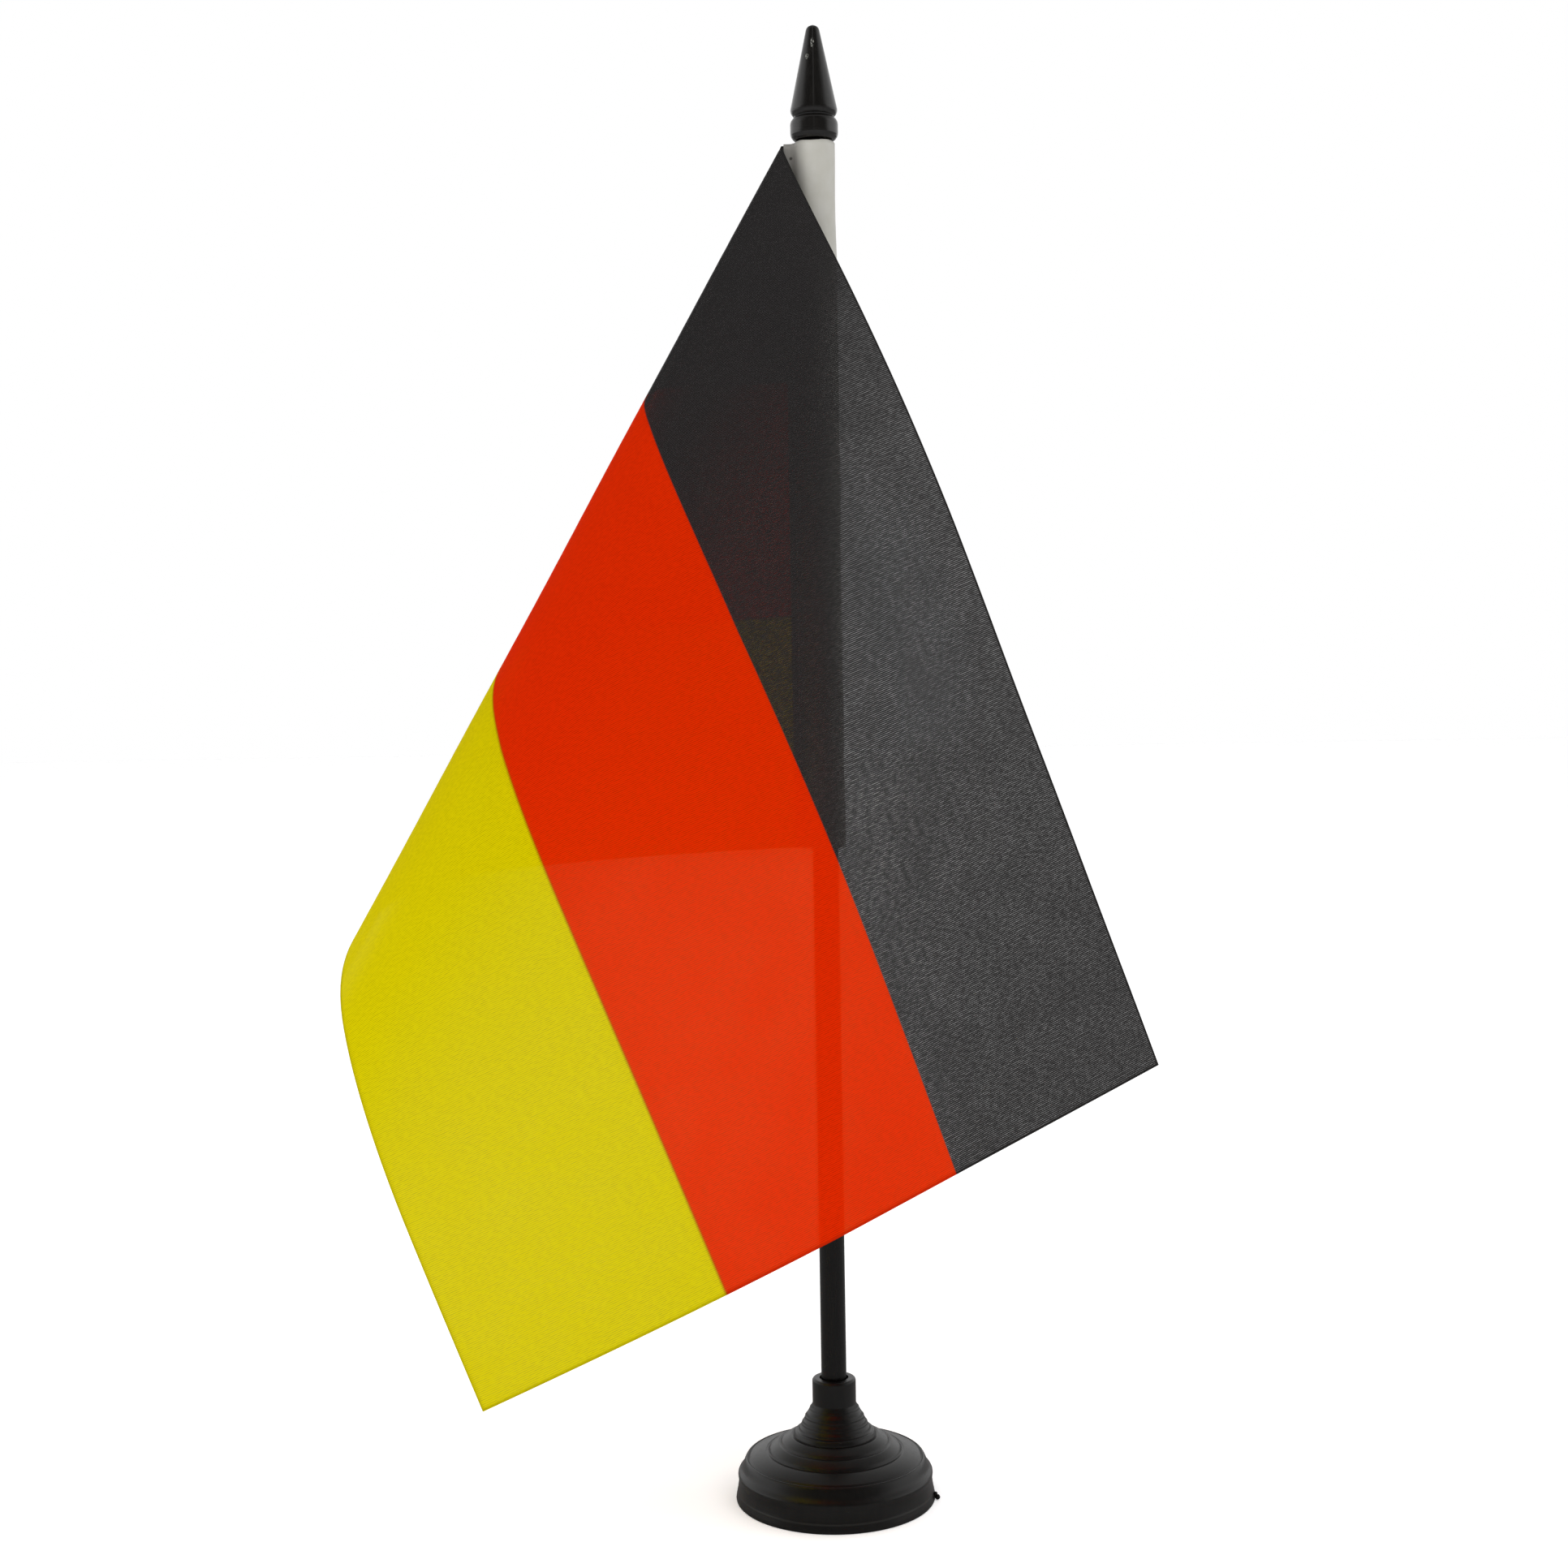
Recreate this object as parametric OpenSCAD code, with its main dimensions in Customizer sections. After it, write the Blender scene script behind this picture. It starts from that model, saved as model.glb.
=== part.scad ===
// Desk flag stand: a small cloth flag on a sleeve that turns on a thin pole, with a spear
// finial pushed onto the pole's top and a rippled round base that the pole stands in.
//
// Millimetres, +Z up. The origin is on the pole's axis, on the table.
// +X is to the right and -Y is to the front. The flag leaves the pole to the left, folds
// once from its top corner, and its free end hangs in front of the pole.

/* [Pole] */
// Height of the finial's tip above the table
stand_h = 300; // [270:1:330]
// Radius of the pole
pole_r = 2.6; // [2.2:0.1:2.8]

/* [Base] */
// Radius of the base where it meets the table
base_r = 20.6; // [20.4:0.1:24]
// Wall of the hollow moulding
base_wall = 1.3; // [1:0.1:1.6]
// Height of the collar's top above the table
collar_top = 25.1; // [23:0.1:28]
// Radius of the collar round the pole
collar_r = 4.5; // [4.2:0.1:4.6]
// Thickness of the socket's closed floor
socket_floor = 1.6; // [1:0.1:3]
// Number of stiffening ribs under the dome
rib_count = 4; // [3:1:6]

/* [Finial] */
// Length of the finial, from its lower face to its tip
finial_l = 23.1; // [20:0.1:26]
// Radius of the ring bead at its foot
bead_r = 4.8; // [4.4:0.1:5]
// Radius of the spear at its widest
spear_r = 4.7; // [4.3:0.1:4.9]
// Depth of the hole that the pole goes into
cap_depth = 13; // [8:1:15]

/* [Flag] */
// Length of the flag, from the hoist to the fly edge
flag_w = 205; // [180:1:215]
// Height of the flag along the hoist
flag_h = 141.4; // [120:0.2:150]
// How much taller the free end is than the gathered hoist
flag_spread = 0.041; // [0:0.001:0.06]
// Thickness of the cloth
cloth_t = 0.3; // [0.25:0.05:0.5]
// Direction in which the cloth leaves the sleeve, in degrees from +X
hoist_turn = 161; // [150:1:170]

/* [Sleeve] */
// Outer radius of the sleeve's tube
sleeve_r = 4.2; // [4:0.1:4.4]
// Thickness of the sleeve's fabric
sleeve_t = 0.4; // [0.3:0.05:0.5]
// Distance between two stitches of the seam
stitch_pitch = 3.3; // [2.5:0.1:5]

/* [Hidden] */
$fn = 96;

black = [0.05, 0.05, 0.05];
white = [0.93, 0.92, 0.88];

// Running clearance of the pole in its socket and in the finial, and the gap to soft pieces
slip = 0.06;
soft_gap = 0.4;

finial_foot = stand_h - finial_l;
sleeve_top = finial_foot - soft_gap;
sleeve_foot = sleeve_top - flag_h;
pole_foot = socket_floor + 0.05;
cap_top = finial_foot + cap_depth;
pole_top = cap_top - 0.3;
bore_r = pole_r + slip;

// ---------------------------------------------------------------- outlines

// Points along an arc round [x, y]
function arc(x, y, r, from, to, steps) =
    [for (i = [0:steps]) let (a = from + (to - from) * i / steps) [x + r * cos(a), y + r * sin(a)]];

// A curve from p up to q, without q: a convex roll, or a hollow where rise is negative
function roll(p, q, rise, steps = 8) =
    let (d = q - p, n = [d[1], -d[0]] / norm(d))
    [for (i = [0:steps - 1]) let (t = i / steps) p + d * t + n * rise * sqrt(sin(180 * t))];

// A smooth curve through points (Catmull-Rom), without the last one
function smooth(p, steps = 4) =
    [for (i = [0:len(p) - 2], s = [0:steps - 1])
        let (t = s / steps, a = p[max(i - 1, 0)], b = p[i], c = p[i + 1], d = p[min(i + 2, len(p) - 1)])
        0.5 * (2 * b + (c - a) * t + (2 * a - 5 * b + 4 * c - d) * t * t
            + (3 * b - a - 3 * c + d) * t * t * t)];

// ---------------------------------------------------------------- base

// The foot, the wall and the sloping shoulder, from the table up
wall = [
    [base_r - 0.3, 0], [base_r, 0.4], [base_r - 0.4, 2.5], [base_r - 0.6, 4.2],
    [base_r - 0.5, 5.6], [base_r - 1.3, 6.7], [base_r - 1.9, 8.1], [base_r - 2.3, 8.7]
];

// The grooves between the dome's rolls, from the shoulder in
dome_grooves = [[base_r - 2.6, 8.6], [13.8, 10.1], [11.3, 11.8], [8.6, 13.3]];
dome_rise = 0.2;

// The neck's rings, with a small hollow above each, and the foot of the collar
neck_rings = [[7.6, 14.4], [6.8, 15.8], [6.1, 17.2], [5.1, 18.9]];
neck_rise = -0.1;
collar_foot = [collar_r, 20];
collar_rounding = 0.6;

// Rolls or hollows between each point of a list and the next
function rolls(p, rise) = [for (i = [0:len(p) - 2]) each roll(p[i], p[i + 1], rise)];

base_outline = concat(
    [[0, 0]],
    smooth(concat(wall, [dome_grooves[0]])),
    rolls(concat(dome_grooves, [neck_rings[0]]), dome_rise),
    rolls(concat(neck_rings, [collar_foot]), neck_rise),
    [collar_foot],
    arc(collar_r - collar_rounding, collar_top - collar_rounding, collar_rounding, 0, 90, 5),
    [[0, collar_top]]
);

// The hollow under the dome, open to the table
hollow_top = 13.6;
hollow_r = base_r - base_wall;
hollow_outline = concat(
    [[0, -1], [hollow_r, -1], [hollow_r, 1.2]],
    smooth([
        [hollow_r - 0.6, 3.2], [hollow_r - 0.8, 5], [hollow_r - 2.1, 6.8], [13.5, 8.1],
        [10, 9.4], [7.4, 11.2], [5.2, hollow_top]
    ]),
    [[5.2, hollow_top], [0, hollow_top]]
);

module base_solid() { rotate_extrude() polygon(base_outline); }

module base_ribs() {
    rib_t = 1.1;
    rib_foot = 0.8;
    intersection() {
        base_solid();
        for (i = [0:rib_count - 1])
            rotate(360 * (i + 0.5) / rib_count)
                translate([0, -rib_t / 2, rib_foot])
                    cube([base_r - 0.8, rib_t, hollow_top - rib_foot + 0.1]);
    }
}

// What is left of the moulding's gate on the foot: two small lumps, a little to the front
module base_gate() {
    rotate(-7) {
        translate([base_r + 0.1, 0, 1.3]) sphere(r = 0.42, $fn = 24);
        translate([base_r + 0.5, 0, 0.62]) sphere(r = 0.55, $fn = 24);
    }
}

// The socket in the collar: a running bore, a chamfer and a wide shallow mouth
module base_socket() {
    mouth_r = bore_r + 0.34;
    mouth_depth = 0.7;
    chamfer_h = mouth_r - bore_r;
    translate([0, 0, socket_floor]) cylinder(r = bore_r, h = collar_top);
    translate([0, 0, collar_top - mouth_depth]) cylinder(r = mouth_r, h = mouth_depth + 1);
    translate([0, 0, collar_top - mouth_depth - chamfer_h])
        cylinder(r1 = bore_r, r2 = mouth_r, h = chamfer_h);
}

module base() {
    color(black) difference() {
        union() {
            difference() {
                base_solid();
                rotate_extrude() polygon(hollow_outline);
            }
            cylinder(r = collar_r, h = collar_top - 2);
            base_ribs();
            base_gate();
        }
        base_socket();
    }
}

// ---------------------------------------------------------------- pole and finial

module pole() {
    bevel = 0.3;
    color(black) rotate_extrude() polygon([
        [0, pole_foot], [pole_r - bevel, pole_foot], [pole_r, pole_foot + bevel],
        [pole_r, pole_top - bevel], [pole_r - bevel, pole_top], [0, pole_top]
    ]);
}

// Half outline of the finial: the ring bead, a crease, and the spear up to its blunt tip
function finial_outline() =
    let (
        grip_r = bore_r - 0.02,
        bead_low = 1.7,
        bead_high = 1.6,
        spear_round = 1.5,
        crease = [4, finial_foot + 5],
        widest = finial_foot + 6.2,
        tip_r = 1.5,
        tip_z = stand_h - 1.7,
        tip = [[tip_r, tip_z], [tip_r - 0.2, tip_z + 0.8], [tip_r - 0.6, tip_z + 1.3], [0, stand_h]]
    )
    concat(
        [[grip_r, finial_foot]],
        arc(bead_r - bead_low, finial_foot + bead_low, bead_low, -90, 0, 6),
        arc(bead_r - bead_high, crease[1] - bead_high - 0.1, bead_high, 0, 65, 5),
        [crease],
        arc(spear_r - spear_round, widest, spear_round, -50, 15, 6),
        smooth(tip, 3),
        [[0, stand_h], [0, cap_top], [grip_r, cap_top]]
    );

module finial() {
    color(black) rotate_extrude() polygon(finial_outline());
}

// ---------------------------------------------------------------- sleeve and seam

// The flap of the sleeve that the cloth is sewn to
flap_x = -6.2;
flap_t = 0.5;
seam_x = -4.8;

module sleeve() {
    color(white) translate([0, 0, sleeve_foot]) difference() {
        union() {
            cylinder(r = sleeve_r, h = flag_h);
            translate([flap_x, -flap_t / 2, 0]) cube([-flap_x - sleeve_r + 0.3, flap_t, flag_h]);
        }
        translate([0, 0, -1]) cylinder(r = sleeve_r - sleeve_t, h = flag_h + 2);
    }
}

// One visible stitch, lying along the seam
module stitch(y, z) {
    thread_r = 0.16;
    stitch_l = stitch_pitch - 0.9;
    translate([seam_x, y, z]) cylinder(r = thread_r, h = stitch_l, $fn = 16);
}

// The stitches show on the front of the flap and on the back of the cloth
module seam_stitches() {
    margin = 2;
    front_y = -flap_t / 2 - 0.2;
    back_y = 1.05;
    count = floor((flag_h - 2 * margin) / stitch_pitch);
    color(white) for (i = [0:count - 1]) {
        z = sleeve_foot + margin + i * stitch_pitch;
        stitch(front_y, z);
        stitch(back_y, z + stitch_pitch / 2);
    }
}

// ---------------------------------------------------------------- flag cloth

// The flat cloth has u from the hoist towards the fly and v down from the top edge.
// It bends along straight lines that fan out from the top edge and never cross:
// [u where the first line meets the top edge, its angle from the hoist,
//  u of the last line, its angle, total turn in degrees]
bends = [
    [0, 3, 0.5, 22.5, -27.5],
    [0.5, 22.5, 8, 40.5, -126],
    [8, 40.5, 41, 41.5, -40],
    [41, 41.5, 93, 58, -25.5]
];
lines_per_bend = 8;
seam_allowance = 1.3;
// The hoist is gathered on the sleeve, and this far from it the cloth is flat
gathered_l = 93;
hoist_corner = [-5.7, 0.9, sleeve_top - 0.1];
cloth_gap_r = sleeve_r + 0.5;

bend_lines = [
    for (b = bends, i = [0:lines_per_bend - 1])
        let (t = (i + 0.5) / lines_per_bend)
        [b[0] + (b[2] - b[0]) * t, b[1] + (b[3] - b[1]) * t, b[4] / lines_per_bend]
];

// Turns about the bend line c, as a 4x4 matrix in the flat cloth's frame
function turn(c) =
    let (x = sin(c[1]), y = cos(c[1]), s = sin(c[2]), k = 1 - cos(c[2]), u = c[0])
    [[1 - k * y * y, k * x * y, s * y, u * k * y * y],
     [k * x * y, 1 - k * x * x, -s * x, -u * k * x * y],
     [-s * y, s * x, 1 - k, u * s * y],
     [0, 0, 0, 1]];

flat = [[1, 0, 0, 0], [0, 1, 0, 0], [0, 0, 1, 0], [0, 0, 0, 1]];

// The matrix for the cloth beyond each bend line: turned about that line and all before it
turns = [
    for (i = 0, m = flat; i <= len(bend_lines); m = m * turn(bend_lines[min(i, len(bend_lines) - 1)]),
        i = i + 1)
        m
];

// Number of bend lines between the hoist and the point u, v
function lines_passed(u, v) = len([for (c = bend_lines) if ((u - c[0]) * cos(c[1]) > v * sin(c[1])) 1]);

// Where the point u, v of the cloth hangs
function hung(u, v) =
    let (
        w = v * (1 + flag_spread * min(1, max(u, 0) / gathered_l)),
        n = lines_passed(u, w),
        q = turns[n] * [u, w, 0, 1],
        p = hoist_corner + [q[0] * cos(hoist_turn) - q[2] * sin(hoist_turn),
            q[0] * sin(hoist_turn) + q[2] * cos(hoist_turn), -q[1]]
    )
    n > lines_per_bend && abs(p[0]) < cloth_gap_r
        ? [p[0], min(p[1], -sqrt(pow(cloth_gap_r, 2) - p[0] * p[0])), p[2]] : p;

u_steps = 44;
v_steps = 30;
function flag_u(i) = i == 0 ? -seam_allowance : flag_w * (i - 1) / (u_steps - 1);
grid = [for (i = [0:u_steps]) [for (j = [0:v_steps]) hung(flag_u(i), flag_h * j / v_steps)]];

function cloth_normal(i, j) =
    let (
        a = grid[min(i + 1, u_steps)][j] - grid[max(i - 1, 0)][j],
        b = grid[i][min(j + 1, v_steps)] - grid[i][max(j - 1, 0)],
        n = cross(a, b)
    ) n / norm(n);

module flag_cloth() {
    row = v_steps + 1;
    front = row * (u_steps + 1);
    points = [
        for (side = [-0.5, 0.5], i = [0:u_steps], j = [0:v_steps])
            grid[i][j] + side * cloth_t * cloth_normal(i, j)
    ];
    function quad(a, b, c, d) = [[a, b, c], [a, c, d]];
    faces = concat(
        [for (i = [0:u_steps - 1], j = [0:v_steps - 1])
            let (a = i * row + j) each quad(a, a + 1, a + row + 1, a + row)],
        [for (i = [0:u_steps - 1], j = [0:v_steps - 1])
            let (a = front + i * row + j) each quad(a, a + row, a + row + 1, a + 1)],
        [for (i = [0:u_steps - 1], e = [0, v_steps])
            let (a = i * row + e, b = a + row)
            each e == 0 ? quad(a, b, b + front, a + front) : quad(a, a + front, b + front, b)],
        [for (j = [0:v_steps - 1], e = [0, u_steps])
            let (a = e * row + j, b = a + 1)
            each e == 0 ? quad(a, a + front, b + front, b) : quad(a, b, b + front, a + front)]
    );
    color([0.85, 0.2, 0.05]) polyhedron(points, faces);
}

// ---------------------------------------------------------------- nodes

base();
pole();
finial();
sleeve();
flag_cloth();
seam_stitches();
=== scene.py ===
"""The looks of a desk flag stand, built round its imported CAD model.

Metres, in the CAD's frame: +Z up the pole, -Y to the front, the origin on the table under
the pole. The base, pole and finial are the CAD's own solids with plastic materials. The
flag, its sleeve and the seam are modelled here, because they are cloth and thread.
"""

import math

import bpy
import numpy as np
from mathutils import Matrix, Vector


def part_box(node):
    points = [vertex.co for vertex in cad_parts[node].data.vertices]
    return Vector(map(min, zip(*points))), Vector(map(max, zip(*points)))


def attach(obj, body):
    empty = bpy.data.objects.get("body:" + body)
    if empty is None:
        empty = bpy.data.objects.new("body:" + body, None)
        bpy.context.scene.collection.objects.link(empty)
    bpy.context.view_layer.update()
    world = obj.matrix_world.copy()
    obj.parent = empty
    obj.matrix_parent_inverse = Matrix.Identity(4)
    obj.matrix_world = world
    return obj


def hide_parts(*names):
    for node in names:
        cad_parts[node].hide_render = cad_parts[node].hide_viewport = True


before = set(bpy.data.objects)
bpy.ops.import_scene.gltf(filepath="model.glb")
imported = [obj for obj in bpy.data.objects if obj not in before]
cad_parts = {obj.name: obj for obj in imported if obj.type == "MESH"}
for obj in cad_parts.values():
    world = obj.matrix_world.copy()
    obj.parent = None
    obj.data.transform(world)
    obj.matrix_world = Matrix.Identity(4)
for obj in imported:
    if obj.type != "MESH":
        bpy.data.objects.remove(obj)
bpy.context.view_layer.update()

MM = 0.001

# ---------------------------------------------------------------- camera

CAMERA_PLACE = Vector((0, -445.9, 172.2)) * MM
PITCH_DOWN = math.radians(3.10)
YAW_LEFT = math.radians(1.06)
ROLL = math.radians(0.97)
LENS = 50.31
SENSOR_W = 36
NEAREST_SEEN = 0.02


def make_camera():
    """A camera in front of the stand, level with the flag and looking a little down."""
    data = bpy.data.cameras.new("camera")
    data.lens = LENS
    data.sensor_width = SENSOR_W
    data.clip_start = NEAREST_SEEN
    camera = bpy.data.objects.new("camera", data)
    bpy.context.scene.collection.objects.link(camera)
    look = Matrix.Rotation(YAW_LEFT, 4, "Z") @ Matrix.Rotation(math.pi / 2 - PITCH_DOWN, 4, "X")
    camera.matrix_world = Matrix.Translation(CAMERA_PLACE) @ look @ Matrix.Rotation(-ROLL, 4, "Z")
    bpy.context.scene.camera = camera


make_camera()

# ---------------------------------------------------------------- small tools


def link(obj):
    bpy.context.scene.collection.objects.link(obj)
    return obj


def mesh_object(name, points, faces, uvs=None):
    """A smooth mesh of points and faces, with an optional flat coordinate for each point."""
    mesh = bpy.data.meshes.new(name)
    mesh.from_pydata([tuple(p) for p in points], [], faces)
    mesh.validate()
    mesh.polygons.foreach_set("use_smooth", [True] * len(mesh.polygons))
    if uvs is not None:
        layer = mesh.uv_layers.new(name="flat")
        corners = np.zeros(len(mesh.loops), np.int32)
        mesh.loops.foreach_get("vertex_index", corners)
        layer.data.foreach_set("uv", np.asarray(uvs, np.float32)[corners].ravel())
    mesh.update()
    return link(bpy.data.objects.new(name, mesh))


def shell(name, outer, inner, uvs=None, closed=False):
    """A thin closed solid between two grids of points, each rows x columns x 3."""
    rows, columns = outer.shape[:2]
    half = rows * columns
    faces = []
    last = columns if closed else columns - 1
    for i in range(rows - 1):
        for j in range(last):
            k = (j + 1) % columns
            a, b, c, d = (i * columns + j, i * columns + k,
                          (i + 1) * columns + k, (i + 1) * columns + j)
            faces += [(a, b, c, d), (a + half, d + half, c + half, b + half)]
    for j in range(last):
        k = (j + 1) % columns
        end = (rows - 1) * columns
        faces += [(j, j + half, k + half, k), (end + j, end + k, end + k + half, end + j + half)]
    if not closed:
        for i in range(rows - 1):
            a, b = i * columns, (i + 1) * columns
            c, d = a + columns - 1, b + columns - 1
            faces += [(a, b, b + half, a + half), (c, c + half, d + half, d)]
    points = np.concatenate([outer.reshape(-1, 3), inner.reshape(-1, 3)])
    if uvs is not None:
        uvs = np.concatenate([uvs.reshape(-1, 2)] * 2)
    return mesh_object(name, points, faces, uvs)


def grid_normals(grid):
    """The unit normal at each point of a grid."""
    down = np.gradient(grid, axis=0)
    across = np.gradient(grid, axis=1)
    normal = np.cross(across, down)
    return normal / np.linalg.norm(normal, axis=2, keepdims=True)


class Material:
    """A node material, with short calls for the nodes that it needs."""

    def __init__(self, name):
        self.data = bpy.data.materials.new(name)
        self.data.use_nodes = True
        self.tree = self.data.node_tree
        self.tree.nodes.clear()
        self.output = self.tree.nodes.new("ShaderNodeOutputMaterial")

    def node(self, kind, inputs=None, **settings):
        made = self.tree.nodes.new("ShaderNode" + kind)
        for key, value in settings.items():
            setattr(made, key, value)
        for key, value in (inputs or {}).items():
            self.put(made.inputs[key], value)
        return made

    def put(self, socket, value):
        if isinstance(value, bpy.types.Node):
            value = next(s for s in value.outputs if s.enabled)
        if isinstance(value, bpy.types.NodeSocket):
            self.tree.links.new(value, socket)
        else:
            socket.default_value = value

    def maths(self, operation, *values):
        made = self.node("Math", dict(enumerate(values)), operation=operation)
        return made.outputs[0]

    def mix(self, share, a, b):
        """Colour a turning into colour b as share goes from 0 to 1."""
        made = self.node("Mix", data_type="RGBA")
        self.put(made.inputs[0], share)
        self.put(made.inputs[6], a)
        self.put(made.inputs[7], b)
        return made.outputs[2]

    def ramp(self, value, low, high, to_low=0.0, to_high=1.0):
        """Maps value smoothly from low..high to to_low..to_high."""
        made = self.node("MapRange", interpolation_type="SMOOTHSTEP")
        for key, number in zip((0, 1, 2, 3, 4), (value, low, high, to_low, to_high)):
            self.put(made.inputs[key], number)
        return made.outputs[0]

    def noise(self, vector, scale, detail=2.0, roughness=0.5):
        made = self.node("TexNoise", {"Vector": vector, "Scale": scale, "Detail": detail,
                                      "Roughness": roughness})
        return made.outputs["Fac"]

    def place(self):
        """The point in the object's own frame, in millimetres, with its x, y and z."""
        coordinate = self.node("TexCoord").outputs["Object"]
        scaled = self.node("VectorMath", {0: coordinate, 1: (1000, 1000, 1000)},
                           operation="MULTIPLY").outputs[0]
        parts = self.node("SeparateXYZ", {0: scaled})
        return scaled, parts.outputs[0], parts.outputs[1], parts.outputs[2]

    def stretched(self, vector, scale):
        return self.node("VectorMath", {0: vector, 1: scale}, operation="MULTIPLY").outputs[0]

    def bump(self, height, distance, strength=1.0, under=None):
        inputs = {"Height": height, "Distance": distance, "Strength": strength}
        if under is not None:
            inputs["Normal"] = under
        return self.node("Bump", inputs).outputs[0]

    def finish(self, shader):
        self.tree.links.new(shader.outputs[0], self.output.inputs["Surface"])
        return self.data


def dress(obj, material):
    obj.data.materials.clear()
    obj.data.materials.append(material)


# ---------------------------------------------------------------- stage and light


FLOOR_REACH = 4


def make_stage():
    """A white floor that is darker in glossy reflections, for the black plastic's sake."""
    r = FLOOR_REACH
    floor = mesh_object("floor", [(-r, -r, 0), (r, -r, 0), (r, r, 0), (-r, r, 0)], [(0, 1, 2, 3)])
    paper = Material("floor_paper")
    grain = paper.noise(paper.place()[0], 0.05)
    white = paper.mix(paper.ramp(grain, 0.3, 0.7), (0.93, 0.93, 0.93, 1), (0.95, 0.95, 0.95, 1))
    bright = paper.node("BsdfPrincipled", {"Base Color": white, "Roughness": 0.9,
                                           "Emission Color": (1, 1, 1, 1), "Emission Strength": 0.3})
    dim = paper.node("BsdfDiffuse", {"Color": (0.3, 0.3, 0.3, 1)})
    mirrored = paper.node("LightPath").outputs["Is Glossy Ray"]
    dress(floor, paper.finish(paper.node("MixShader", {0: mirrored, 1: bright, 2: dim})))


def make_world():
    """A white light tent, open and dark in front, with a roof that is darker in reflections."""
    world = bpy.data.worlds.new("tent")
    world.use_nodes = True
    bpy.context.scene.world = world
    tree = world.node_tree
    tree.nodes.clear()
    direction = tree.nodes.new("ShaderNodeTexCoord").outputs["Generated"]
    parts = tree.nodes.new("ShaderNodeSeparateXYZ")
    opening = tree.nodes.new("ShaderNodeMapRange")
    opening.interpolation_type = "SMOOTHSTEP"
    opening.inputs["From Min"].default_value = 0.1
    opening.inputs["From Max"].default_value = 0.6
    opening.inputs["To Min"].default_value = 1.0
    opening.inputs["To Max"].default_value = 0.1
    front = tree.nodes.new("ShaderNodeMath")
    front.operation = "MULTIPLY"
    front.inputs[1].default_value = -1.0
    roof = tree.nodes.new("ShaderNodeMapRange")
    roof.interpolation_type = "SMOOTHSTEP"
    roof.inputs["From Min"].default_value = 0.35
    roof.inputs["From Max"].default_value = 0.85
    roof.inputs["To Min"].default_value = 1.0
    roof.inputs["To Max"].default_value = 0.3
    both = tree.nodes.new("ShaderNodeMath")
    both.operation = "MULTIPLY"
    seen = tree.nodes.new("ShaderNodeLightPath")
    open_roof = tree.nodes.new("ShaderNodeMix")
    open_roof.inputs[2].default_value = 1.0
    strength = tree.nodes.new("ShaderNodeMath")
    strength.operation = "MAXIMUM"
    sky = tree.nodes.new("ShaderNodeBackground")
    sky.inputs["Color"].default_value = (1, 1, 1, 1)
    out = tree.nodes.new("ShaderNodeOutputWorld")
    for a, b in ((direction, parts.inputs[0]), (parts.outputs["Y"], front.inputs[0]),
                 (front.outputs[0], opening.inputs["Value"]),
                 (parts.outputs["Z"], roof.inputs["Value"]),
                 (seen.outputs["Is Glossy Ray"], open_roof.inputs[0]),
                 (roof.outputs[0], open_roof.inputs[3]),
                 (opening.outputs[0], both.inputs[0]), (open_roof.outputs[0], both.inputs[1]),
                 (both.outputs[0], strength.inputs[0]),
                 (seen.outputs["Is Camera Ray"], strength.inputs[1]),
                 (strength.outputs[0], sky.inputs["Strength"]),
                 (sky.outputs[0], out.inputs["Surface"])):
        tree.links.new(a, b)


def make_light(name, place, size, power, target=(0, 0, 0.15)):
    data = bpy.data.lights.new(name, "AREA")
    data.shape = "RECTANGLE"
    data.size, data.size_y = size
    data.energy = power
    light = link(bpy.data.objects.new(name, data))
    light.location = place
    light.visible_glossy = False
    light.rotation_euler = (Vector(target) - Vector(place)).to_track_quat("-Z", "Y").to_euler()


make_stage()
make_world()
make_light("key", (-0.35, -0.75, 1.0), (0.9, 0.6), 7)
make_light("fill", (0.55, -0.7, 0.9), (0.8, 0.6), 3.5)
bpy.context.scene.view_settings.view_transform = "Standard"

# ---------------------------------------------------------------- sizes shared by the cloth pieces

sleeve_low, sleeve_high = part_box("sleeve")
SLEEVE_R = sleeve_high.x
HOIST = sleeve_high.z - sleeve_low.z
FLAG_W = 204.5 * MM

# ---------------------------------------------------------------- flag

# The flat cloth has u from the hoist towards the fly and v down from the top edge. It bends
# along straight lines that fan out from the top edge and never cross. Each bend goes from
# a line through u, at an angle from the hoist, to another, and turns by so many degrees.
BENDS = (
    (0.0, 3, 0.0, 22.5, -27.5),
    (0.0, 22.5, 2.0, 40.5, -126),
    (2.0, 40.5, 41.0, 41.5, -38),
    (41.0, 41.5, 93.0, 58, -25.5),
)
LINES_PER_BEND = 28
# The free end is taller than the gathered hoist by this share, and the cloth widens to it over
# the first part of its length
SPREAD = 0.041
WIDENING_RATE = 2.2
SEAM_ALLOWANCE = 1.3 * MM
CORNER = Vector((-5.7 * MM, 0.9 * MM, sleeve_high.z - 0.1 * MM))
HOIST_TURN = math.radians(161)
POLE_GAP = SLEEVE_R + 0.5 * MM
CLOTH_T = 0.22 * MM
WAVE_HEIGHT = 0.1 * MM
# The cloth has closer rows of points near the hoist, where it bends most
FINE_PART = 12


def bend_lines():
    """Each small turn of the cloth: where its line starts, the line's angle and the turn."""
    for u0, a0, u1, a1, turn in BENDS:
        for i in range(LINES_PER_BEND):
            t = (i + 0.5) / LINES_PER_BEND
            yield ((u0 + (u1 - u0) * t) * MM, math.radians(a0 + (a1 - a0) * t),
                   math.radians(turn / LINES_PER_BEND))


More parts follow.
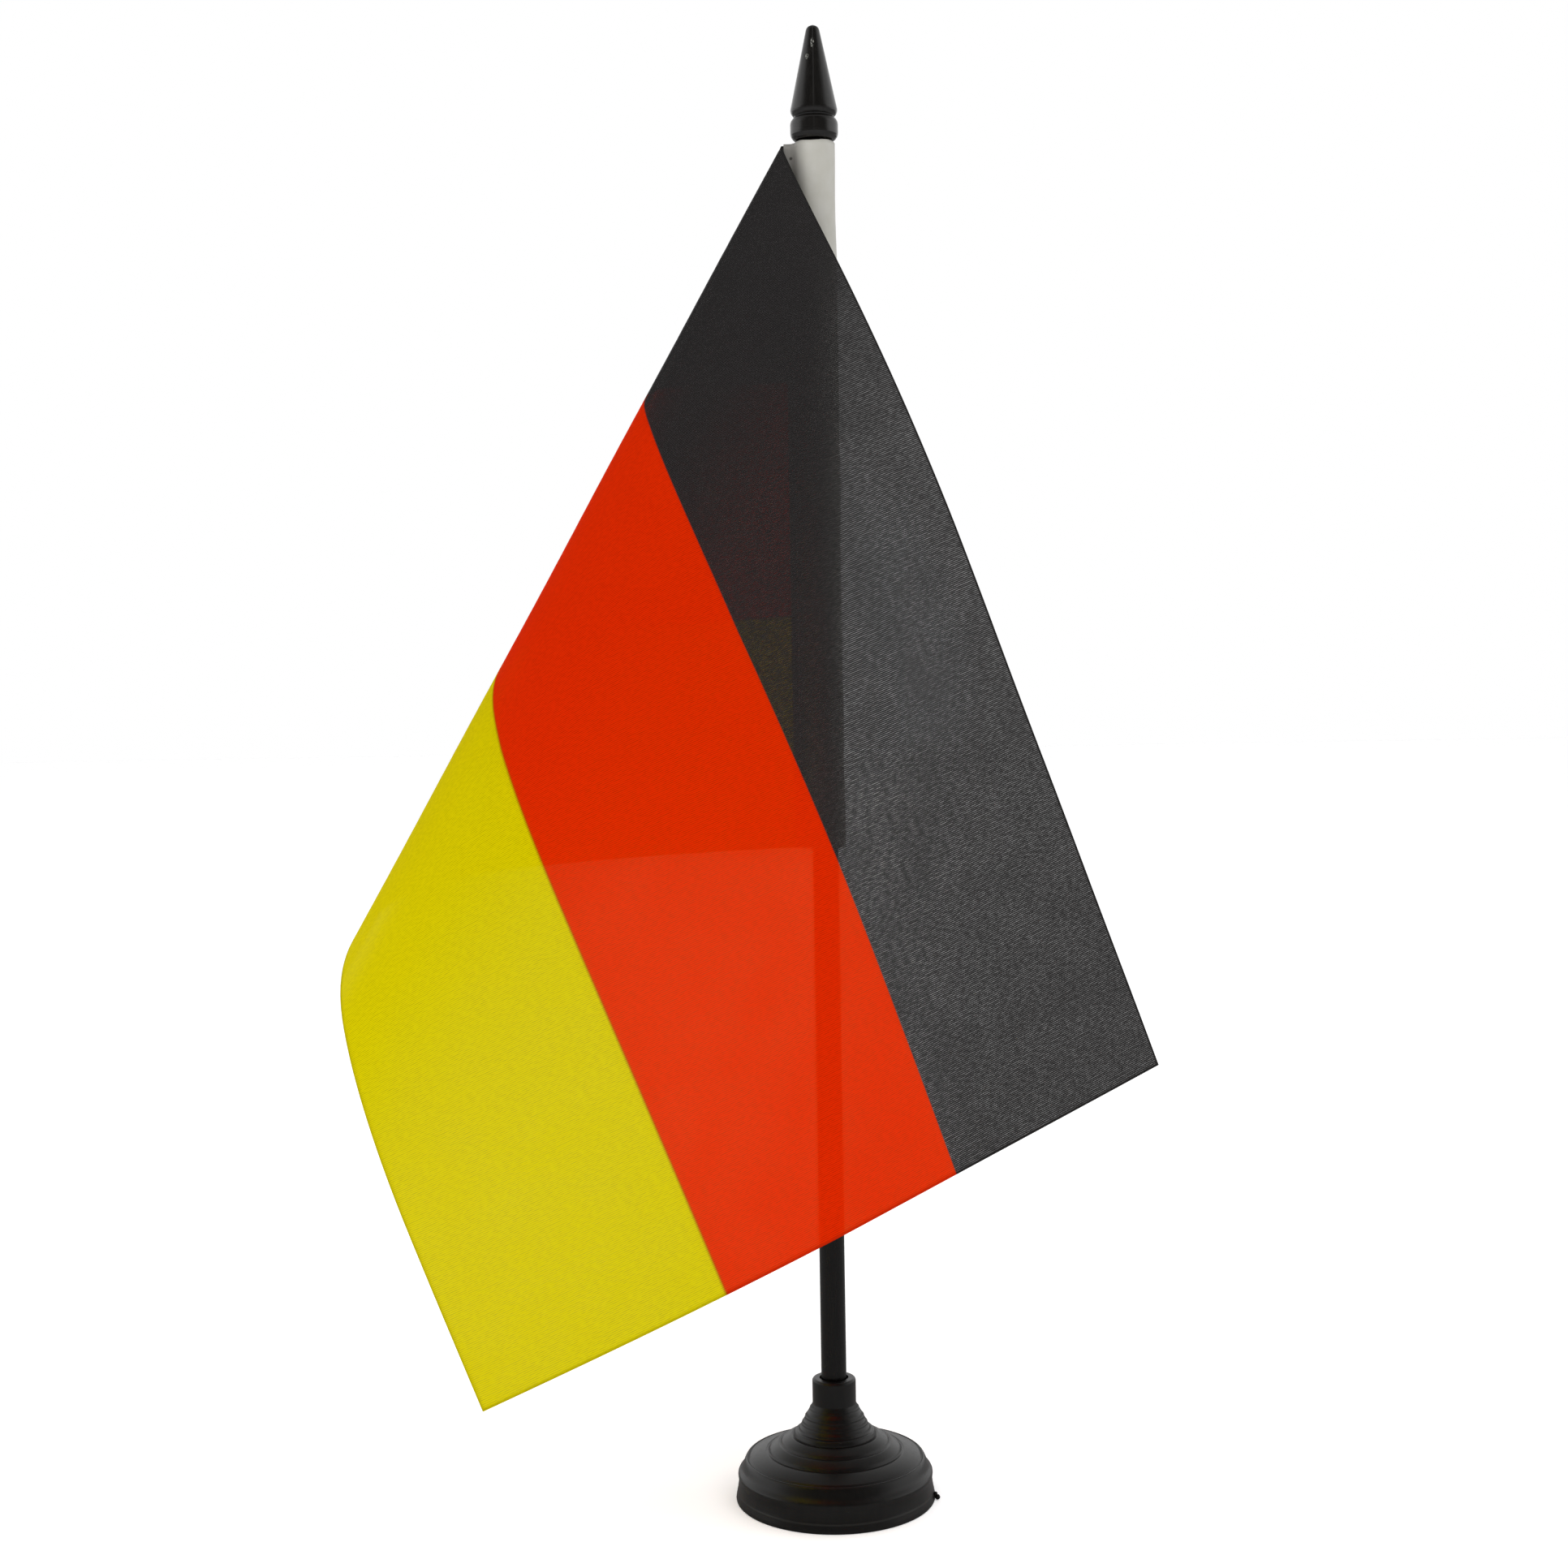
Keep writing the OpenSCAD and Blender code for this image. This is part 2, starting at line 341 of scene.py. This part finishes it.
def hung(u, v):
    """Where the points u, v of the flat cloth hang, as an array of points."""
    gather = SPREAD * np.minimum(1, WIDENING_RATE * np.maximum(u, 0) / FLAG_W)
    w = v * (1 + gather)
    flat = np.stack([u, w, np.zeros_like(u)], axis=-1)
    bent = flat.copy()
    passed = np.zeros(u.shape, int)
    turned = Matrix.Identity(4)
    for number, (start, angle, turn) in enumerate(bend_lines(), 1):
        axis = Vector((math.sin(angle), math.cos(angle), 0))
        about = Matrix.Translation((start, 0, 0))
        turned = turned @ about @ Matrix.Rotation(turn, 4, axis) @ about.inverted()
        beyond = (u - start) * math.cos(angle) > w * math.sin(angle)
        rotation, shift = np.array(turned.to_3x3()), np.array(turned.translation)
        bent[beyond] = flat[beyond] @ rotation.T + shift
        passed[beyond] = number
    cos, sin = math.cos(HOIST_TURN), math.sin(HOIST_TURN)
    x = CORNER.x + bent[..., 0] * cos - bent[..., 2] * sin
    y = CORNER.y + bent[..., 0] * sin + bent[..., 2] * cos
    z = CORNER.z - bent[..., 1]
    near = (passed > LINES_PER_BEND) & (np.abs(x) < POLE_GAP)
    round_sleeve = -np.sqrt(np.maximum(POLE_GAP ** 2 - x ** 2, 0))
    y = np.where(near, np.minimum(y, round_sleeve), y)
    return np.stack([x, y, z], axis=-1)


def make_flag():
    """The hung sheet with small waves, as a thin closed solid."""
    fine = np.linspace(0, FINE_PART, 41)
    wide = np.linspace(FINE_PART, FLAG_W / MM, 161)[1:]
    u = np.concatenate([[-SEAM_ALLOWANCE], fine * MM, wide * MM])
    v = np.linspace(0, HOIST, 119)
    uu, vv = np.meshgrid(u, v, indexing="ij")
    middle = hung(uu, vv)
    normal = grid_normals(middle)
    waves = (np.sin(uu / 17e-3 + 1.3) * np.sin(vv / 13e-3 + uu / 41e-3)
             + 0.6 * np.sin(uu / 7.5e-3 - vv / 9e-3 + 0.7))
    middle = middle + normal * (WAVE_HEIGHT * waves * np.clip(uu / 0.03, 0, 1))[..., None]
    flat = np.stack([uu / FLAG_W, vv / FLAG_W], axis=-1)
    half = normal * CLOTH_T / 2
    return shell("flag_sheet", middle + half, middle - half, flat)


# ---------------------------------------------------------------- sleeve and seam

FABRIC_T = 0.36 * MM
FLAP_FABRIC_T = 0.1 * MM
FRAY = 0.12 * MM


def sleeve_outline():
    """The sleeve's cross-section seen from above: the tube, then its two layers in the flap."""
    tube = [(SLEEVE_R * math.cos(a), SLEEVE_R * math.sin(a))
            for a in np.radians(np.linspace(-166, 166, 84))]
    flap = [(-4.34, 0.8), (-4.5, 0.52), (-4.75, 0.34), (-5.1, 0.27), (-5.6, 0.25), (-6.0, 0.25),
            (-6.2, 0.12), (-6.2, -0.12)]
    back = [(x * MM, y * MM) for x, y in flap]
    return np.array(tube + back + [(x, -y) for x, y in reversed(back[:-2])])


def make_sleeve():
    """The tube and its flap, with soft creases and a slightly frayed top edge."""
    outline = sleeve_outline()
    rows = np.linspace(0, 1, 150)
    outer, inner = [], []
    angle = np.arctan2(outline[:, 1], outline[:, 0])
    on_tube = np.clip((outline[:, 0] / MM + 4.2) / 1.5, 0, 1)
    for t in rows:
        z = sleeve_low.z + HOIST * t
        crease = (0.05 * np.sin(3 * angle + 40 * t) + 0.04 * np.sin(5 * angle - 23 * t + 1)
                  + 0.05 * np.sin(2 * angle + 9 * t + 2) - 0.09)
        out = outline * (1 + (crease * MM / SLEEVE_R * on_tube)[:, None])
        step_in = np.where(on_tube > 0, FABRIC_T, FLAP_FABRIC_T)
        size = np.linalg.norm(outline, axis=1)
        inside = out * (1 - step_in / size)[:, None]
        inside[:, 1] = np.where(on_tube > 0, inside[:, 1], out[:, 1] * 0.3)
        edge = z - FRAY * np.sin(4 * angle + 2) * (t == 1) * on_tube
        outer.append(np.column_stack([out, edge]))
        inner.append(np.column_stack([inside, edge]))
    return shell("sleeve_tube", np.array(outer), np.array(inner), closed=True)


STITCH_PITCH = 3.3 * MM
STITCH_L = 2.5 * MM
THREAD_R = 0.15 * MM
THREAD_RINGS = 9
THREAD_SIDES = 8
SEAM_X = -4.75 * MM
SEAM_MARGIN = 2 * MM
# Where the stitches lie: on the front of the flap and on the back of the cloth
FRONT_Y = -0.3 * MM
BACK_Y = 0.72 * MM


def stitch_points(y, out, z):
    """A short arc of thread that dives into the cloth at both its ends."""
    points = []
    for i in range(THREAD_RINGS):
        t = i / (THREAD_RINGS - 1)
        rise = math.sin(math.pi * t) ** 0.5
        for k in range(THREAD_SIDES):
            a = 2 * math.pi * k / THREAD_SIDES
            points.append((SEAM_X + THREAD_R * math.cos(a),
                           y + out * (0.16 * MM * rise - 0.1 * MM) + THREAD_R * math.sin(a),
                           z + STITCH_L * t))
    return points


def make_seam():
    """The lockstitch: short stitches on the front and, half a pitch higher, on the back."""
    rings, sides = THREAD_RINGS, THREAD_SIDES
    points, faces = [], []
    count = int((HOIST - 2 * SEAM_MARGIN) / STITCH_PITCH)
    for i in range(count):
        z = sleeve_low.z + SEAM_MARGIN + i * STITCH_PITCH
        for y, out, start in ((FRONT_Y, -1, z), (BACK_Y, 1, z + STITCH_PITCH / 2)):
            first = len(points)
            points += stitch_points(y, out, start)
            for r in range(rings - 1):
                for k in range(sides):
                    a, b = first + r * sides + k, first + r * sides + (k + 1) % sides
                    faces.append((a, b, b + sides, a + sides))
            faces.append(tuple(first + k for k in reversed(range(sides))))
            faces.append(tuple(first + (rings - 1) * sides + k for k in range(sides)))
    return mesh_object("seam_thread", points, faces)


# ---------------------------------------------------------------- materials

BLACK_DYE = (0.036, 0.034, 0.034, 1)
RED_DYE = (0.8, 0.034, 0.0003, 1)
GOLD_DYE = (0.78, 0.69, 0.0003, 1)
RIB_PITCH = 0.355 * MM
# How open the gap between two ribs is at its middle, on each face of the sheet
MOST_OPEN = 0.4
# The share of light that the threads let through softly, on each face
CLOTH_GLOW = 0.43
SLEEVE_GLOW = 0.2


def flag_material():
    """Thin ribbed polyester in three printed stripes; light shows between its ribs."""
    m = Material("ribbed_flag_cloth")
    flat = m.node("UVMap", uv_map="flat").outputs[0]
    parts = m.node("SeparateXYZ", {0: flat})
    u, v = parts.outputs[0], m.maths("MULTIPLY", parts.outputs[1], FLAG_W / HOIST)
    swell = m.maths("SINE", m.maths("MULTIPLY", u, math.pi))
    first = m.maths("SUBTRACT", v, m.maths("MULTIPLY_ADD", swell, -0.009, 1 / 3))
    second = m.maths("SUBTRACT", v, m.maths("MULTIPLY_ADD", u, 0.0075, 2 / 3))
    bleed = 0.0012
    colour = m.mix(m.ramp(first, -bleed, bleed), BLACK_DYE, RED_DYE)
    colour = m.mix(m.ramp(second, -bleed, bleed), colour, GOLD_DYE)
    # Ink overlaps in a thin olive line where red meets gold
    overlap = m.ramp(m.maths("ABSOLUTE", second), 0.001, 0.003, 0.35, 0.0)
    colour = m.mix(overlap, colour, (0.3, 0.14, 0.004, 1))
    # Ribs run parallel to the hoist
    ribs_across = FLAG_W / RIB_PITCH
    drift = m.noise(m.stretched(flat, (9, 9, 1)), 1.0)
    phase = m.maths("MULTIPLY_ADD", u, ribs_across, m.maths("MULTIPLY", drift, 1.2))
    rise_and_fall = m.maths("SINE", m.maths("MULTIPLY", phase, 2 * math.pi))
    wave = m.maths("MULTIPLY_ADD", rise_and_fall, 0.5, 0.5)
    # Uneven yarn: some ribs stand further apart for about a millimetre of their length
    streak = m.noise(m.stretched(flat, (ribs_across * 0.8, ribs_across * 0.3, 1)), 1.0, 2.0)
    patch = m.noise(m.stretched(flat, (24, 24, 1)), 1.0, 3.0)
    uneven = m.ramp(streak, 0.3, 0.7, 0.7, 1.28)
    open_share = m.maths("MULTIPLY", uneven, m.ramp(patch, 0.3, 0.7, 0.92, 1.06))
    gap = m.maths("MULTIPLY", m.ramp(wave, 0.3, 1.0), open_share)
    thread = m.mix(m.ramp(wave, 0.0, 1.0, 0.1, 0.0), colour, (0, 0, 0, 1))
    # The cut edges are sealed with heat, so they are closed and a little darker
    side = m.maths("MINIMUM", m.maths("MINIMUM", v, m.maths("SUBTRACT", 1.0, v)),
                   m.maths("SUBTRACT", 1.0, u))
    sealed = m.ramp(side, 0.001, 0.003, 1.0, 0.0)
    thread = m.mix(m.maths("MULTIPLY", sealed, 0.2), thread, (0.01, 0.008, 0.004, 1))
    gap = m.maths("MULTIPLY", gap, m.maths("SUBTRACT", 1.0, sealed))
    bump = m.bump(wave, 0.04 * MM, 0.5)
    cloth = m.node("BsdfPrincipled", {"Base Color": thread, "Roughness": 0.85,
                                      "Specular IOR Level": 0.02, "Normal": bump})
    glow = m.node("BsdfTranslucent", {"Color": thread})
    body = m.node("MixShader", {0: CLOTH_GLOW, 1: cloth, 2: glow})
    tint = m.mix(m.ramp(first, -bleed, bleed), (1, 1, 1, 1), (0.9, 0.55, 0.3, 1))
    tint = m.mix(m.ramp(second, -bleed, bleed), tint, (0.7, 0.7, 0.35, 1))
    clear = m.node("BsdfTransparent", {"Color": tint})
    return m.finish(m.node("MixShader", {0: m.maths("MULTIPLY", gap, MOST_OPEN), 1: body, 2: clear}))


def sleeve_material():
    """Creamy satin with a fine weave, needle holes along the seam, and painted shade darkening its
    left side.
    """
    m = Material("sleeve_satin")
    place, x, _, z = m.place()
    fine = m.noise(m.stretched(place, (3, 3, 14)), 1.0, 1.0)
    soft = m.noise(place, 0.25, 2.0)
    colour = m.mix(m.ramp(soft, 0.3, 0.7), (0.5, 0.49, 0.44, 1), (0.54, 0.53, 0.49, 1))
    colour = m.mix(m.ramp(fine, 0.4, 0.7, 0.0, 0.15), colour, (0.5, 0.48, 0.42, 1))
    # Painted shade: the tube's colour darkens towards its left, beside the cloth, where shade falls
    painted_shade_left = m.ramp(x, -4.4, -1.2, 0.72, 0.0)
    colour = m.mix(painted_shade_left, colour, (0.16, 0.15, 0.14, 1))
    along = m.maths("FRACT", m.maths("DIVIDE", m.maths("SUBTRACT", z, sleeve_low.z / MM + 1.55),
                                     STITCH_PITCH / MM))
    dz = m.maths("MULTIPLY", m.maths("SUBTRACT", along, 0.5), STITCH_PITCH / MM)
    dx = m.maths("SUBTRACT", x, SEAM_X / MM)
    far = m.maths("SQRT", m.maths("ADD", m.maths("MULTIPLY", dx, dx), m.maths("MULTIPLY", dz, dz)))
    hole = m.ramp(far, 0.18, 0.42, 1.0, 0.0)
    colour = m.mix(m.maths("MULTIPLY", hole, 0.9), colour, (0.05, 0.045, 0.04, 1))
    bump = m.bump(fine, 0.03 * MM, 0.6)
    satin = m.node("BsdfPrincipled", {"Base Color": colour, "Roughness": 0.5, "Sheen Weight": 0.2,
                                      "Sheen Roughness": 0.3, "Normal": bump})
    glow = m.node("BsdfTranslucent", {"Color": colour})
    return m.finish(m.node("MixShader", {0: SLEEVE_GLOW, 1: satin, 2: glow}))


def thread_material():
    """White twisted sewing thread."""
    m = Material("sewing_thread")
    y, z = m.place()[2:]
    twist = m.maths("SINE", m.maths("ADD", m.maths("MULTIPLY", z, 16.0),
                                    m.maths("MULTIPLY", y, 12.0)))
    colour = m.mix(m.ramp(twist, -1.0, 1.0), (0.55, 0.53, 0.48, 1), (0.83, 0.82, 0.78, 1))
    return m.finish(m.node("BsdfPrincipled", {
        "Base Color": colour, "Roughness": 0.6, "Sheen Weight": 0.3,
        "Normal": m.bump(twist, 0.03 * MM, 0.8)}))


def plastic_material(name, roughness, dye, gloss, marks=None):
    """Black satin moulded plastic: a faint grain, small scuffs, and the part's own marks."""
    m = Material(name)
    place, x, y, z = m.place()
    grain = m.noise(place, 1.6, 3.0)
    flow = m.noise(m.stretched(place, (1.2, 1.2, 0.12)), 1.0, 2.0)
    scuff = m.ramp(m.noise(m.stretched(place, (0.9, 0.9, 2.4)), 1.0, 4.0, 0.7), 0.66, 0.74)
    colour = m.mix(m.ramp(flow, 0.3, 0.7), (dye * 0.8, dye * 0.7, dye * 0.6, 1),
                   (dye * 1.4, dye * 1.2, dye * 1.0, 1))
    colour = m.mix(m.maths("MULTIPLY", scuff, 0.3), colour, (0.06, 0.06, 0.06, 1))
    bump = m.bump(grain, 0.02 * MM, 0.35)
    if marks:
        ridge, paler = marks(m, x, y, z)
        bump = m.bump(ridge, 0.05 * MM, 0.8, bump)
        colour = m.mix(paler, colour, (0.2, 0.2, 0.18, 1))
    rough = m.ramp(m.maths("ADD", m.maths("MULTIPLY", flow, 0.6), m.maths("MULTIPLY", scuff, 0.4)),
                   0.2, 0.9, roughness - 0.04, roughness + 0.12)
    return m.finish(m.node("BsdfPrincipled", {
        "Base Color": colour, "Roughness": rough, "Specular IOR Level": gloss, "Normal": bump}))


# Rough scratches near the finial's tip: x and z of the middle, half width and half height, in mm
SCRATCHES = ((-0.1, 295.9, 0.4, 1.1), (-1.2, 293.2, 0.35, 0.6))


def finial_marks(m, x, y, z):
    """A mould line up the spear's front and back, and two rough scratches on its front."""
    line = m.ramp(m.maths("ABSOLUTE", x), 0.03, 0.12, 1.0, 0.0)
    broken = m.noise(m.node("CombineXYZ", {0: x, 1: y, 2: z}), 2.6, 3.0, 0.7)
    worn = 0.0
    for middle_x, middle_z, half_w, half_h in SCRATCHES:
        dx = m.maths("DIVIDE", m.maths("SUBTRACT", x, middle_x), half_w)
        dz = m.maths("DIVIDE", m.maths("SUBTRACT", z, middle_z), half_h)
        far = m.maths("ADD", m.maths("MULTIPLY", dx, dx), m.maths("MULTIPLY", dz, dz))
        worn = m.maths("MAXIMUM", worn, m.ramp(far, 0.5, 1.1, 1.0, 0.0))
    worn = m.maths("MULTIPLY", worn, m.ramp(broken, 0.48, 0.56))
    worn = m.maths("MULTIPLY", worn, m.maths("LESS_THAN", y, 0.0))
    return line, worn


# Radii of the base's ring grooves, how far the line at the bottom of each reaches to either side,
# the height above which they lie, and the height of the foot's mould line, in mm
RING_RADII = (18.0, 13.8, 11.3, 8.6, 7.6, 6.8, 6.1, 5.1)
RING_LINE = 0.55
RINGS_ABOVE = 8.2
MOULD_LINE_Z = 1.9
# How strongly the ring lines and the mould line show in the bump
RING_DEPTH = 4.0
MOULD_LINE_HEIGHT = 0.4


def base_marks(m, x, y, z):
    """A fine line in each ring groove, and a mould line round the foot, above the gate's nub."""
    radius = m.maths("SQRT", m.maths("ADD", m.maths("MULTIPLY", x, x), m.maths("MULTIPLY", y, y)))
    grooves = 0.0
    for ring in RING_RADII:
        off = m.maths("ABSOLUTE", m.maths("SUBTRACT", radius, ring))
        grooves = m.maths("MAXIMUM", grooves, m.ramp(off, 0.0, RING_LINE, 1.0, 0.0))
    grooves = m.maths("MULTIPLY", grooves, m.maths("GREATER_THAN", z, RINGS_ABOVE))
    level = m.ramp(m.maths("ABSOLUTE", m.maths("SUBTRACT", z, MOULD_LINE_Z)), 0.06, 0.3, 1.0, 0.0)
    height = m.maths("SUBTRACT", m.maths("MULTIPLY", level, MOULD_LINE_HEIGHT),
                     m.maths("MULTIPLY", grooves, RING_DEPTH))
    return height, m.maths("MULTIPLY", level, 0.05)


flag = make_flag()
dress(flag, flag_material())
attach(flag, "flag")
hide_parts("flag_cloth")

sleeve = make_sleeve()
dress(sleeve, sleeve_material())
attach(sleeve, "flag")
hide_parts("sleeve")

seam = make_seam()
dress(seam, thread_material())
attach(seam, "flag")
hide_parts("seam_stitches")

dress(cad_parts["base"], plastic_material("base_black", 0.38, 0.003, 0.42, base_marks))
dress(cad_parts["pole"], plastic_material("pole_black", 0.3, 0.003, 0.32))
dress(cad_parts["finial"], plastic_material("finial_black", 0.26, 0.004, 0.65, finial_marks))
